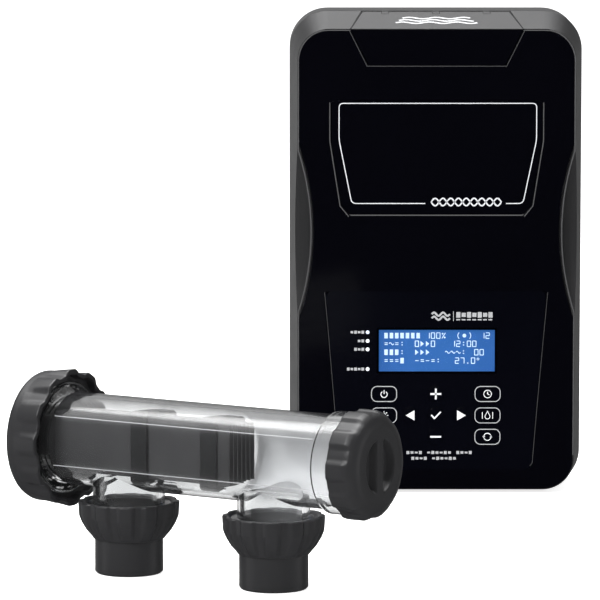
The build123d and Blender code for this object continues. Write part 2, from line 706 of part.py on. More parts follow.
def nut_side(radius):
    """The nut's outside, from its top edge down to the end of the taper."""
    points = [(radius - 1.0, NUT_TOP), (radius, NUT_TOP - 1.0), (radius - 0.7, 46.5)]
    return points + [(radius - 3.0, 41.0), (32.6, 34.5)]


def union_nut(x):
    """Lobed nut: straight above, tapering in to the tail below, with a lip under the tail's flange."""
    nut = turned([(20.0, NUT_TOP)] + nut_side(NUT_R) + [(NUT_LIP_R + 0.8, NUT_LOW), (20.0, NUT_LOW)], Axis.Z)
    side = nut_side(NUT_R + NUT_LOBE)
    lobe = turned([(31.0, NUT_TOP)] + side + [(31.0, NUT_LOW + 4.0)], Axis.Z, NUT_LOBE_ARC)
    for i in range(NUT_LOBES):
        nut = nut + Rot(0, 0, i * 360 / NUT_LOBES - NUT_LOBE_ARC / 2) * lobe
    bore = rod_z(NUT_LIP_R, 0, 0, 0, 80) + rod_z(NUT_BORE_R, 0, 0, NUT_LIP_TOP, 80)
    mouth = Pos(0, 0, NUT_TOP - 1.5) * Cone(NUT_BORE_R, NUT_BORE_R + 3.2, 3.2)
    return Pos(x, 0, 0) * (nut - bore - mouth)


def electrode_head():
    """Black head: a flange under the collar, a plug in the tube and a cup for the leads at its back."""
    head = rod_x(HEAD_BOSS_R, HEAD_FLANGE_X, HEAD_SEAT_X) + rod_x(HEAD_PLUG_R, HEAD_SEAT_X, HEAD_PLUG_END)
    head = head - rod_x(HEAD_CUP_R, HEAD_FLANGE_X, HEAD_CUP_FLOOR)
    return head - joined([rod_x(TERMINAL_R, HEAD_FLANGE_X, HEAD_PLUG_END, y) for y in TERMINAL_Y])


def head_seal():
    return rod_x(43.0, HEAD_SEAT_X, HEAD_END_X) - rod_x(HEAD_PLUG_R, HEAD_SEAT_X - 1, HEAD_END_X + 1)


def electrode_plates():
    """Parallel coated plates, edge on to the tube's axis."""
    first = -(PLATE_COUNT - 1) / 2 * PLATE_STEP
    plates = []
    for i in range(PLATE_COUNT):
        y = first + i * PLATE_STEP
        plates.append(brick((HEAD_PLUG_END, PLATE_END), (y - PLATE_T / 2, y + PLATE_T / 2),
                            (AXIS_Z - PLATE_H / 2, AXIS_Z + PLATE_H / 2)))
    return joined(plates)


def electrode_spacers():
    """Combs that keep the plates apart."""
    first = -(PLATE_COUNT - 1) / 2 * PLATE_STEP
    combs = []
    for x in SPACER_X:
        high = (AXIS_Z - SPACER_HIGH / 2, AXIS_Z + SPACER_HIGH / 2)
        comb = brick((x - SPACER_W / 2, x + SPACER_W / 2), (-SPACER_HALF, SPACER_HALF), high)
        comb = comb & rod_x(HEAD_PLUG_R, x - SPACER_W, x + SPACER_W)
        for i in range(PLATE_COUNT):
            y = first + i * PLATE_STEP
            comb = comb - brick((x - SPACER_W, x + SPACER_W), (y - PLATE_T / 2 - 0.1, y + PLATE_T / 2 + 0.1),
                                (AXIS_Z - PLATE_H / 2 - 0.1, AXIS_Z + PLATE_H / 2 + 0.1))
        combs.append(comb)
    return joined(combs)


def electrode_terminals():
    """Threaded studs through the head, ending in the cup."""
    return joined([rod_x(TERMINAL_R, HEAD_FLANGE_X + 1.5, HEAD_PLUG_END, y) for y in TERMINAL_Y])


def terminal_nuts():
    nuts = []
    for y in TERMINAL_Y:
        nut = Pos(HEAD_CUP_FLOOR - 5, y, AXIS_Z) * Rot(0, 90, 0) * extrude(RegularPolygon(5.8, 6), amount=5.0)
        nuts.append(nut - rod_x(TERMINAL_R, HEAD_FLANGE_X - 5, HEAD_PLUG_END, y))
    return joined(nuts)


def lobed_ring(profile, rib, count, arc):
    """A turned form about the tube's axis with evenly spaced ribs."""
    ring = turned(profile, Axis.X)
    lobe = turned(rib, Axis.X, arc)
    for i in range(count):
        ring = ring + Rot(i * 360 / count, 0, 0) * lobe
    return Pos(0, 0, AXIS_Z) * ring


def locking_collar():
    """Deep lobed collar that screws over the housing's boss and holds the electrode head in."""
    far, near, outer = COLLAR_FAR, COLLAR_NEAR, COLLAR_R
    rim = [(far + 1.2, outer - 1.2), (far + 4, outer), (near, outer + 0.8)]
    profile = [(far, 0), (far, outer - 4)] + rim + [(near, 0)]
    rib = [(far + 9, outer - 2), (far + 15, outer + 0.9), (near - 1.2, outer + 3.0), (near, outer + 2.4)]
    rib.append((near, outer - 2))
    collar = lobed_ring(profile, rib, COLLAR_LOBES, COLLAR_LOBE_ARC)
    collar = collar - rod_x(COLLAR_BORE_R, HEAD_FLANGE_X - 0.3, near + 1)
    collar = collar - rod_x(COLLAR_HOLE_R, far - 1, near)
    return collar - rod_x(COLLAR_MOUTH_R, near - 7, near + 1)


def end_cap():
    """Lobed cap with a round recess in its end face, crossed by an upright grip bar."""
    far, near = CAP_FAR, CAP_NEAR
    rim = [(near - 6, CAP_R), (near - 1.6, CAP_R - 2.6), (near, CAP_R - 7.5)]
    profile = [(far, 0), (far, CAP_R)] + rim + [(near, 0)]
    rib_end = near - 7.0
    rib = [(far, CAP_R - 2), (far, CAP_R + 1.5), (rib_end - 4, CAP_R + 1.5), (rib_end, CAP_R - 0.2)]
    rib.append((rib_end, CAP_R - 2))
    cap = lobed_ring(profile, rib, CAP_LOBES, CAP_LOBE_ARC)
    cap = cap - rod_x(CAP_BORE_R, far - 1, CAP_INNER_X)
    pocket = rod_x(GRIP_R, near - GRIP_DEPTH, near + 1)
    bar = brick((near - 20, near + 2), (-GRIP_BAR / 2, GRIP_BAR / 2), (0, 300))
    return cap - (pocket - bar)


def end_cap_seal():
    return rod_x(CAP_THREAD_R, CAP_END_X, CAP_INNER_X) - rod_x(TUBE_BORE_R, CAP_END_X - 1, CAP_INNER_X + 1)


# ---------------------------------------------------------------- assembly
def controller_nodes():
    nodes = {
        "rear_case": rear_case(),
        "case_seal": case_seal(),
        "front_frame": front_frame(),
        "fascia_panel": fascia_panel(),
        "badge_panel": badge_panel(),
        "keypad_overlay": keypad_overlay(),
        "flap_cover": flap_cover(),
        "flap_trim": flap_trim(),
        "flap_hinge_pin": flap_hinge_pin(),
        "service_port": service_port(),
        "display_lens": display_lens(),
        "display_module": display_module(),
        "indicator_lights": indicator_lights(),
        "key_switches": key_switches(),
        "control_board": control_board(),
        "board_screws": board_screws(),
        "cover_screws": cover_screws(),
        "wall_bracket": wall_bracket(),
        "bracket_screws": bracket_screws(),
        "power_board": power_board(),
        "capacitors": capacitors(),
        "relay": relay(),
        "fuse_holder": fuse_holder(),
        "terminal_block": terminal_block(),
        "transformer_core": transformer_core(),
        "transformer_winding": transformer_winding(),
        "heat_sink": heat_sink(),
        "rectifier": rectifier(),
        "gland_bodies": gland_bodies(),
        "gland_nuts": gland_nuts(),
        "gland_lock_nuts": gland_lock_nuts(),
    }
    for name, x, z, width in KEYS:
        nodes[name] = key(x, z, width)
    return nodes


def cell_nodes():
    nodes = {
        "cell_housing": cell_housing(),
        "electrode_head": electrode_head(),
        "electrode_plates": electrode_plates(),
        "electrode_spacers": electrode_spacers(),
        "electrode_terminals": electrode_terminals(),
        "terminal_nuts": terminal_nuts(),
        "head_seal": head_seal(),
        "locking_collar": locking_collar(),
        "end_cap": end_cap(),
        "end_cap_seal": end_cap_seal(),
    }
    for name, x in (("inlet", -PORT_X), ("outlet", PORT_X)):
        nodes[name + "_tail"] = union_tail(x)
        nodes[name + "_seal"] = union_seal(x)
        nodes[name + "_nut"] = union_nut(x)
    return nodes


def assembly():
    """All nodes, with the cell in its place, moved so that the footprint's middle is the origin."""
    nodes = controller_nodes()
    cell_place = Pos(CELL_X, CELL_Y, 0) * Rot(0, 0, -CELL_YAW)
    for name, shape in cell_nodes().items():
        nodes[name] = cell_place * shape
    boxes = [shape.bounding_box() for shape in nodes.values()]
    low = [min(b.min.X for b in boxes), min(b.min.Y for b in boxes)]
    high = [max(b.max.X for b in boxes), max(b.max.Y for b in boxes)]
    shift = (-(low[0] + high[0]) / 2, -(low[1] + high[1]) / 2, 0.0)
    return {name: Pos(*shift) * shape for name, shape in nodes.items()}, shift


os.makedirs("parts", exist_ok=True)
NODES, SHIFT = assembly()
for node_name, node_shape in NODES.items():
    export_step(node_shape, f"parts/{node_name}.step")
print("nodes", len(NODES), "shift", [round(v, 3) for v in SHIFT])
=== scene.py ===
import json
from math import atan2, cos, pi, radians, sin
import bpy
import numpy as np
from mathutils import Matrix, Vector


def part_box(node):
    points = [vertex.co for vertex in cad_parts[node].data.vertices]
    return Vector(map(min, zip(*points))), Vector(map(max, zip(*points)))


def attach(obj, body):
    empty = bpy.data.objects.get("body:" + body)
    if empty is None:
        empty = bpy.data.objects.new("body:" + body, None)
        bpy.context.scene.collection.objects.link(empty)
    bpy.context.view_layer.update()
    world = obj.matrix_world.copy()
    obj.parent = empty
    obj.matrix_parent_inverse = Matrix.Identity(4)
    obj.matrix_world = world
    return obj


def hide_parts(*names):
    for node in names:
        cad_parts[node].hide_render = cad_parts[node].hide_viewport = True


# Looks for the salt chlorine generator: softly rounded nuts, collar and cap, the marks, and every finish.

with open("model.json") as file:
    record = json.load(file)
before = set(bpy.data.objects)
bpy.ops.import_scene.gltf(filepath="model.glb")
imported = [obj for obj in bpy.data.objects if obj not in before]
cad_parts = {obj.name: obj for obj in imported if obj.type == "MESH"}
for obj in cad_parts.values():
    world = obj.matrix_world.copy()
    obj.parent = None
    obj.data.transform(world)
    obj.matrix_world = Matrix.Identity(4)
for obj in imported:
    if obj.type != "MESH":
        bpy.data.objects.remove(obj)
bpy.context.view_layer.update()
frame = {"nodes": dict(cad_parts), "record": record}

MM = 0.001

# ---- the two units' own frames, read off the CAD boxes
fascia_low, fascia_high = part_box("fascia_panel")
MID_X = (fascia_low.x + fascia_high.x) / 2
FACE_Y = fascia_low.y
inlet_low, inlet_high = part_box("inlet_tail")
outlet_low, outlet_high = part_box("outlet_tail")
inlet = (inlet_low + inlet_high) / 2
outlet = (outlet_low + outlet_high) / 2
CELL_MID = (inlet + outlet) / 2
CELL_TURN = atan2(outlet.y - inlet.y, outlet.x - inlet.x)
PORT_X = (outlet - inlet).length / 2 / MM
AXIS_Z = 105.0
TUBE_R = 37.5

# ---- outline of the fascia and of what lies on it, in mm from the controller's middle line and its foot
LIP_X = 122.2
LIP_R = 28.0
LIP_CORNER_Z = 385.0
LIP_END_Z = 34.0
SCOOP_REACH = 110.9
SCOOP_ARC_R = 233.0
SCOOP_MID_Z = 234.0
FLAP_FOOT_Z = 413.5
FLAP_SLOPE_RUN = 39.0
FLAP_SLOPE_RISE = 13.5
KEYPAD_TOP = (99.0, 182.0)
KEYPAD_LOW = (86.0, 20.0)
LIGHT_ROWS = ((144.3, 4), (136.5, 2), (129.0, 3), (111.3, 5))

# ---- union nut, as (along, radius, lobe share) in mm
NUT_PROFILE = (
    (58.5, 37.5, 1.0), (57.7, 38.5, 1.0), (46.5, 37.8, 1.0), (41.0, 35.6, 1.0), (34.5, 32.2, 0.8),
    (30.0, 29.6, 0.2), (28.0, 28.8, 0.0), (28.0, 28.0, 0.0), (40.7, 28.0, 0.0), (40.7, 34.35, 0.0),
    (56.9, 34.35, 0.0), (58.5, 36.6, 0.0),
)
NUT_LOBES = 12
NUT_LOBE = 2.4
NUT_SHARE, NUT_FLANK = 0.6, 0.1

# ---- locking collar
COLLAR_PROFILE = (
    (-154.0, 36.0, 0.0), (-154.0, 49.0, 0.0), (-152.8, 51.8, 0.0), (-150.0, 53.0, 0.0), (-145.0, 53.1, 0.0),
    (-139.0, 52.6, 0.4), (-124.0, 52.4, 1.0), (-123.0, 51.8, 1.0), (-123.0, 48.7, 0.8), (-130.0, 48.7, 0.5),
    (-130.0, 45.5, 0.0), (-150.3, 45.5, 0.0), (-150.3, 36.0, 0.0),
)
COLLAR_LOBES = 12
COLLAR_LOBE = 3.5
COLLAR_SHARE, COLLAR_FLANK = 0.55, 0.12

# ---- end cap, from the middle of its face, round its side, to the middle of its inside
CAP_FACE_R = 31.5
CAP_NEAR = 167.5
CAP_INNER_X = 154.0
CAP_SIDE = (
    (167.5, 31.5, 0.0), (166.7, 35.2, 0.0), (164.6, 38.9, 0.1), (161.8, 41.0, 0.45), (158.0, 41.4, 1.0),
    (144.0, 41.4, 1.0), (143.0, 41.2, 1.0), (143.0, 38.7, 0.0), (154.0, 38.7, 0.0), (154.0, 30.0, 0.0),
)
CAP_LOBES = 10
CAP_LOBE = 2.1
CAP_SHARE, CAP_FLANK = 0.55, 0.1
GRIP_R = 22.0
GRIP_DEPTH = 6.0
GRIP_HALF = 4.2


# ---------------------------------------------------------------- surfaces
def smooth(value, low, high):
    """0 below low, 1 above high, and 3t^2 - 2t^3 between."""
    t = np.clip((value - low) / (high - low), 0.0, 1.0)
    return t * t * (3 - 2 * t)


def lobe_wave(angle, count, share, soft):
    """1 on each of count even lobes, 0 between; a lobe covers that share of its period, with soft flanks."""
    place = np.abs(np.mod(angle * count / (2 * pi) + 0.5, 1.0) - 0.5)
    return 1.0 - smooth(place, share / 2 - soft, share / 2 + soft)


def rounded(points, radius, closed=True, steps=3):
    """Corners cut back by the radius, 0.45 of a side at most, and bridged by quadratic curves."""
    points = np.asarray(points, float)
    parts = []
    count = len(points)
    for i in range(count):
        if not closed and i in (0, count - 1):
            parts.append(points[i:i + 1])
            continue
        here, before, after = points[i], points[i - 1], points[(i + 1) % count]
        back = min(radius / np.linalg.norm(before[:2] - here[:2]), 0.45)
        on = min(radius / np.linalg.norm(after[:2] - here[:2]), 0.45)
        t = np.linspace(0, 1, steps + 1)[:, None]
        first, last = here + (before - here) * back, here + (after - here) * on
        parts.append((1 - t) ** 2 * first + 2 * t * (1 - t) * here + t ** 2 * last)
    return np.concatenate(parts)


def in_cell(x, y, z):
    """Points of the cell's own frame, in mm, as metres in the shared frame."""
    x, y, z = np.broadcast_arrays(x, y, z)
    c, s = cos(CELL_TURN), sin(CELL_TURN)
    return np.stack([CELL_MID.x + (x * c - y * s) * MM, CELL_MID.y + (x * s + y * c) * MM, z * MM], -1)


def on_face(depth):
    """A place on the controller's front: (right, up, out) in mm, with out measured forward from a depth."""
    def place(right, up, out):
        right, up, out = np.broadcast_arrays(right, up, out)
        return np.stack([MID_X + right * MM, FACE_Y + (depth - out) * MM, up * MM], -1)
    return place


def add_piece(name, points, faces, paint, body, nodes=()):
    """A smooth mesh piece in place, its faces turned outwards by the sign of its volume."""
    mesh = bpy.data.meshes.new(name)
    volume = 0.0
    for sides in {len(f) for f in faces}:
        corners = points[np.array([f for f in faces if len(f) == sides])]
        for j in range(1, sides - 1):
            volume += np.sum(corners[:, 0] * np.cross(corners[:, j], corners[:, j + 1]))
    if volume < 0:
        faces = [tuple(reversed(f)) for f in faces]
    mesh.from_pydata(points.tolist(), [], faces)
    mesh.update()
    mesh.shade_smooth()
    mesh.set_sharp_from_angle(angle=radians(38))
    mesh.materials.append(paint)
    piece = bpy.data.objects.new(name, mesh)
    bpy.context.scene.collection.objects.link(piece)
    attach(piece, body)
    if nodes:
        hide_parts(*nodes)


def loop_faces(rows, columns, rows_closed):
    """Quads of a grid whose columns close, and whose rows close too if asked."""
    i, j = np.meshgrid(np.arange(rows if rows_closed else rows - 1), np.arange(columns), indexing="ij")
    nxt, across = (i + 1) % rows, (j + 1) % columns
    quads = np.stack([i * columns + j, nxt * columns + j, nxt * columns + across, i * columns + across], -1)
    return [tuple(q) for q in quads.reshape(-1, 4).tolist()]


def spun_ring(name, profile, lobes, lobe, share, soft, place, paint, body, node, turns=288):
    """A closed profile turned full circle, its radius raised by lobe x profile's share x the lobes' wave."""
    angle = np.linspace(0, 2 * pi, turns, endpoint=False)[None, :]
    along, radius, amount = rounded(profile, 0.9).T[:, :, None]
    radius = radius + lobe * amount * lobe_wave(angle, lobes, share, soft)
    points = place(along, radius * np.cos(angle), radius * np.sin(angle)).reshape(-1, 3)
    add_piece(name, points, loop_faces(len(along), turns, True), paint, body, (node,))


def cap_piece(paint):
    """The end cap: a side with lobes, and a face sunk by depth x inside the round x outside the bar."""
    turns = 360
    angle = np.linspace(0, 2 * pi, turns, endpoint=False)[None, :]
    face_r = np.linspace(0.5, CAP_FACE_R - 0.5, 68)[:, None]
    across = face_r * np.cos(angle)
    in_round = 1 - smooth(face_r, GRIP_R - 3.0, GRIP_R + 0.3)
    off_bar = smooth(np.abs(across), GRIP_HALF - 0.4, GRIP_HALF + 4.5)
    face_x = CAP_NEAR - GRIP_DEPTH * (in_round * off_bar)
    side = rounded(CAP_SIDE, 1.2, False)
    along, radius, amount = side.T[:, :, None]
    radius = radius + CAP_LOBE * amount * lobe_wave(angle, CAP_LOBES, CAP_SHARE, CAP_FLANK)
    back_r = np.linspace(29.0, 0.5, 12)[:, None]
    x = np.concatenate([face_x + 0 * angle, along + 0 * angle, CAP_INNER_X + 0 * back_r + 0 * angle])
    r = np.concatenate([face_r + 0 * angle, radius, back_r + 0 * angle])
    grid = in_cell(x, r * np.cos(angle), AXIS_Z + r * np.sin(angle))
    rows = grid.shape[0]
    middles = [in_cell(x, 0, AXIS_Z)[None] for x in (CAP_NEAR, CAP_INNER_X)]
    points = np.concatenate([grid.reshape(-1, 3)] + middles)
    faces = loop_faces(rows, turns, False)
    near, far, last = rows * turns, rows * turns + 1, (rows - 1) * turns
    faces += [(near, j, (j + 1) % turns) for j in range(turns)]
    faces += [(far, last + (j + 1) % turns, last + j) for j in range(turns)]
    add_piece("end_cap_look", points, faces, paint, "end_cap", ("end_cap",))


# ---------------------------------------------------------------- printed marks, and painted highlight, reflection and shadow lines
SEGMENTS = {"0": "abcdef", "1": "bc", "2": "abged", "7": "abc"}
SEGMENT_ENDS = {
    "a": ((0, 1), (1, 1)), "b": ((1, 1), (1, 0.5)), "c": ((1, 0.5), (1, 0)), "d": ((0, 0), (1, 0)),
    "e": ((0, 0.5), (0, 0)), "f": ((0, 1), (0, 0.5)), "g": ((0, 0.5), (1, 0.5)),
}


def arc(x, z, radius, start=0.0, end=360.0, steps=28):
    """Points on a circle between two angles in degrees."""
    t = np.radians(np.linspace(start, end, steps))
    return np.stack([x + radius * np.cos(t), z + radius * np.sin(t)], -1)


def ripple(x, z, length, height, waves, steps=40):
    """A sine line with that many waves."""
    t = np.linspace(0, 1, steps)
    return np.stack([x - length / 2 + length * t, z + height / 2 * np.sin(2 * pi * waves * t)], -1)


def pill(x, z, width, height, radius, steps=8):
    """A rectangle with round corners."""
    corners = ((1, 1, 0), (-1, 1, 90), (-1, -1, 180), (1, -1, 270))
    parts = [
        arc(x + i * (width / 2 - radius), z + k * (height / 2 - radius), radius, turn, turn + 90, steps)
        for i, k, turn in corners
    ]
    return np.concatenate(parts)


class Marks:
    """Thin closed solids on one surface, gathered into one piece. Points are (right, up) in mm."""

    def __init__(self, place, top=0.05, root=-0.05):
        self.place, self.top, self.root = place, top, root
        self.points, self.faces = [], []

    def spot(self, outline):
        """A filled convex outline: a front, a back, and walls between them."""
        outline = np.asarray(outline, float)
        right, up = outline.T
        n, base = len(outline), sum(len(p) for p in self.points)
        self.points += [self.place(right, up, self.top), self.place(right, up, self.root)]
        front = base + np.arange(n)
        if np.sum(right * np.roll(up, -1) - np.roll(right, -1) * up) < 0:
            front = front[::-1]
        back = front + n
        walls = np.stack([np.roll(front, -1), front, back, np.roll(back, -1)], -1)
        self.faces += [tuple(front.tolist()), tuple(back[::-1].tolist())]
        self.faces += [tuple(wall) for wall in walls.tolist()]

    def stroke(self, path, width, closed=False):
        """A line of even width along a path."""
        path = np.asarray(path, float)
        ahead = np.roll(path, -1, 0) - path
        behind = path - np.roll(path, 1, 0)
        if not closed:
            ahead[-1], behind[0] = behind[-1], ahead[0]
        ahead /= np.linalg.norm(ahead, axis=1)[:, None] + 1e-9
        behind /= np.linalg.norm(behind, axis=1)[:, None] + 1e-9
        along = ahead + behind
        along /= np.linalg.norm(along, axis=1)[:, None] + 1e-9
        reach = width / 2 / np.maximum(np.sum(along * ahead, 1), 0.5)
        side = np.stack([-along[:, 1], along[:, 0]], -1) * reach[:, None]
        left, right = path + side, path - side
        base, n = sum(len(p) for p in self.points), len(path)
        ring = [(left, self.top), (right, self.top), (right, self.root), (left, self.root)]
        self.points.append(np.stack([self.place(p[:, 0], p[:, 1], out) for p, out in ring], 1).reshape(-1, 3))
        step = np.arange(n if closed else n - 1)[:, None]
        here, there = base + 4 * step, base + 4 * ((step + 1) % n)
        corner = np.arange(4)
        after = (corner + 1) % 4
        walls = np.stack([here + corner, here + after, there + after, there + corner], -1)
        self.faces += [tuple(wall) for wall in walls.reshape(-1, 4).tolist()]
        if not closed:
            end = base + 4 * (n - 1)
            self.faces += [(base + 3, base + 2, base + 1, base), (end, end + 1, end + 2, end + 3)]

    def digits(self, text, x, z, pitch, width, height, pen):
        """Seven-segment figures, with a few symbols, from the left end of a row."""
        for i, sign in enumerate(text):
            left = x + i * pitch
            for name in SEGMENTS.get(sign, ""):
                ends = np.array(SEGMENT_ENDS[name], float) * (width, height) + (left, z)
                self.stroke(ends, pen)
            if sign == "%":
                self.stroke([(left, z), (left + width, z + height)], pen)
                self.spot(arc(left + 0.6, z + height - 0.8, 0.8, steps=9)[:-1])
                self.spot(arc(left + width - 0.6, z + 0.8, 0.8, steps=9)[:-1])
            if sign == ":":
                self.spot(arc(left + width / 2, z + height * 0.3, 0.6, steps=9)[:-1])
                self.spot(arc(left + width / 2, z + height * 0.75, 0.6, steps=9)[:-1])
            if sign == ".":
                self.spot(arc(left + width / 2, z + 0.3, 0.6, steps=9)[:-1])
            if sign == "*":
                self.spot(arc(left + width / 2, z + height / 2, 1.7, steps=15)[:-1])
            if sign == "'":
                self.stroke(arc(left + 1.2, z + height - 1.1, 0.9, steps=13)[:-1], pen * 0.8, True)
            if sign == "(":
                self.stroke(arc(left + 4.4, z + height / 2, 3.9, 135, 225, 9), pen)
            if sign == ")":
                self.stroke(arc(left - 1.4, z + height / 2, 3.9, -45, 45, 9), pen)
            if sign == "=":
                self.stroke([(left + 0.2, z + height * 0.36), (left + width, z + height * 0.36)], pen)
                self.stroke([(left + 0.2, z + height * 0.66), (left + width, z + height * 0.66)], pen)
            if sign == "|":
                self.spot([(left, z), (left + width, z), (left + width, z + height), (left, z + height)])
            if sign == ">":
                self.spot([(left, z), (left + width, z + height / 2), (left, z + height)])
            if sign == "~":
                self.stroke(ripple(left + width / 2, z + height / 2, width + 1.0, height * 0.4, 1, 12), pen)
            if sign == "-":
                self.stroke([(left, z + height / 2), (left + width, z + height / 2)], pen)

    def piece(self, name, body, paint):
        """Everything marked so far, as one piece that rides on a body."""
        add_piece(name, np.concatenate(self.points), self.faces, paint, body)


# ---------------------------------------------------------------- finishes
class Value:
    """A shader output that takes part in arithmetic."""

    def __init__(self, paint, socket):
        self.paint, self.socket = paint, socket

    def math(self, operation, *others):
        node = self.paint.node("ShaderNodeMath", {"operation": operation}, dict(enumerate((self,) + others)))
        return Value(self.paint, node.outputs[0])

    def __add__(self, other):
        return self.math("ADD", other)

    def __mul__(self, other):
        return self.math("MULTIPLY", other)

    def __rsub__(self, other):
        return self * -1.0 + other

    __radd__ = __add__
    __rmul__ = __mul__

    def sine(self):
        return self.math("SINE")

    def size(self):
        return self.math("ABSOLUTE")

    def step(self, low, high):
        """0 below low, 1 above high, smooth between."""
        ends = {0: self, 1: low, 2: high, 3: 0.0, 4: 1.0}
        node = self.paint.node("ShaderNodeMapRange", {"interpolation_type": "SMOOTHSTEP"}, ends)
        return Value(self.paint, node.outputs[0])


class Paint:
    """One material, with a Principled shader and helpers that add nodes to it."""

    def __init__(self, name, tree=None, **constants):
        if tree is None:
            self.material = bpy.data.materials.new(name)
            self.material.use_nodes = True
            tree = self.material.node_tree
            self.shader = tree.nodes["Principled BSDF"]
        self.tree = tree
        for key, value in constants.items():
            self.put(self.shader, key.replace("_", " "), value)

    def put(self, node, key, value):
        """A constant or a link into one input."""
        socket = node.inputs[key]
        if isinstance(value, Value):
            self.tree.links.new(value.socket, socket)
        elif isinstance(value, bpy.types.NodeSocket):
            self.tree.links.new(value, socket)
        elif isinstance(value, tuple) and len(value) == 3 and socket.type == "RGBA":
            socket.default_value = (*value, 1.0)
        else:
            socket.default_value = value

    def node(self, kind, settings=None, values=None):
        """A node of one type, with its settings first and then its inputs."""
        made = self.tree.nodes.new(kind)
        for key, value in (settings or {}).items():
            setattr(made, key, value)
        for key, value in (values or {}).items():
            self.put(made, key, value)
        return made

    def place(self, scale=(1.0, 1.0, 1.0), turn=0.0, origin=(0.0, 0.0, 0.0)):
        """Object coordinates, moved to an origin, turned about Z and scaled."""
        at = self.node("ShaderNodeTexCoord").outputs["Object"]
        at = self.node("ShaderNodeVectorMath", {"operation": "SUBTRACT"}, {0: at, 1: origin}).outputs[0]
        values = {"Vector": at, "Rotation": (0, 0, turn), "Scale": scale}
        return self.node("ShaderNodeMapping", {"vector_type": "POINT"}, values).outputs[0]

    def axes(self, place=None):
        """X, Y and Z of a place as values."""
        parts = self.node("ShaderNodeSeparateXYZ", values={0: place or self.place()}).outputs
        return [Value(self, parts[i]) for i in range(3)]

    def noise(self, scale, detail=2.0, place=None):
        """Noise from 0 to 1."""
        values = {"Scale": scale, "Detail": detail, "Vector": place or self.place()}
        return Value(self, self.node("ShaderNodeTexNoise", values=values).outputs[0])

    def mix(self, share, first, second):
        """A colour between two, by share."""
        made = self.node("ShaderNodeMix", {"data_type": "RGBA"}, {0: share})
        self.put(made, 6, first)
        self.put(made, 7, second)
        return made.outputs[2]

    def bump(self, height, distance, strength=1.0):
        """A height, in units of the distance, turned into the shader's normal."""
        values = {"Height": height, "Distance": distance, "Strength": strength}
        self.put(self.shader, "Normal", self.node("ShaderNodeBump", values=values).outputs[0])


def satin(name, low, high, rough, grain, scale=1500.0, specular=0.5):
    """Moulded plastic: two close tones in slow noise, uneven roughness and a fine spark-eroded grain."""
    paint = Paint(name, Specular_IOR_Level=specular)
    paint.put(paint.shader, "Base Color", paint.mix(paint.noise(14.0), low, high))
    paint.put(paint.shader, "Roughness", rough - 0.05 + 0.1 * paint.noise(55.0))
    paint.bump(paint.noise(scale, 1.0), grain)
    return paint.material


def gloss(name, low, high, rough, specular):
    """Polished plastic: near even colour, with faint smears in the roughness."""
    paint = Paint(name, Specular_IOR_Level=specular)
    paint.put(paint.shader, "Base Color", paint.mix(paint.noise(8.0), low, high))
    paint.put(paint.shader, "Roughness", rough + 0.05 * paint.noise(30.0, 4.0))
    paint.bump(paint.noise(22.0, 1.0), 0.00006)
    return paint.material


def metal(name, low, high, rough, brushed=(1.0, 1.0, 1.0)):
    """Bare or plated metal, with brushing as stretched noise."""
    paint = Paint(name, Metallic=1.0)
    lines = paint.noise(900.0, 3.0, paint.place(brushed))
    paint.put(paint.shader, "Base Color", paint.mix(lines, low, high))
    paint.put(paint.shader, "Roughness", rough + 0.15 * lines)
    paint.bump(lines, 0.00003)
    return paint.material


def board(name):
    """Green solder mask with copper lands: thin lines and round pads where two sine grids meet."""
    paint = Paint(name, Roughness=0.35)
    x, _, z = paint.axes()
    lands = (x * 1571.0).sine() * (z * 1571.0).sine()
    tracks = ((z * 2094.0).sine() + 0.6 * (x * 131.0).sine()).step(0.75, 0.85)
    green = paint.mix(tracks, (0.012, 0.11, 0.035), (0.03, 0.2, 0.06))
    paint.put(paint.shader, "Base Color", paint.mix(lands.step(0.93, 0.97), green, (0.6, 0.52, 0.36)))
    paint.bump(tracks, 0.00004)
    return paint.material


def winding(name):
    """Copper wire in close turns: a sine ridge along the coil."""
    paint = Paint(name, Metallic=0.85, Roughness=0.3)
    _, _, z = paint.axes()
    turns = (z * 6283.0).sine()
    paint.put(paint.shader, "Base Color", paint.mix(0.5 + 0.5 * turns, (0.22, 0.07, 0.02), (0.62, 0.26, 0.1)))
    paint.bump(turns, 0.0003)
    return paint.material


def laminated(name):
    """Varnished steel sheets: thin dark lines between layers."""
    paint = Paint(name, Metallic=0.6)
    _, y, _ = paint.axes()
    layers = (y * 9000.0).sine()
    sheet = paint.mix(layers.step(-0.9, -0.2), (0.05, 0.05, 0.06), (0.28, 0.28, 0.3))
    paint.put(paint.shader, "Base Color", sheet)
    paint.put(paint.shader, "Roughness", 0.45 + 0.1 * paint.noise(120.0))
    paint.bump(layers, 0.0001)
    return paint.material


def electrode_coat(name):
    """Mixed oxide on titanium: nearly black, powdery, with cloudy darker patches."""
    paint = Paint(name, Specular_IOR_Level=0.3)
    cloud = paint.noise(70.0, 5.0)
    paint.put(paint.shader, "Base Color", paint.mix(cloud, (0.018, 0.018, 0.019), (0.042, 0.042, 0.044)))
    paint.put(paint.shader, "Roughness", 0.55 + 0.2 * cloud)
    paint.bump(paint.noise(2500.0, 2.0), 0.00005)
    return paint.material


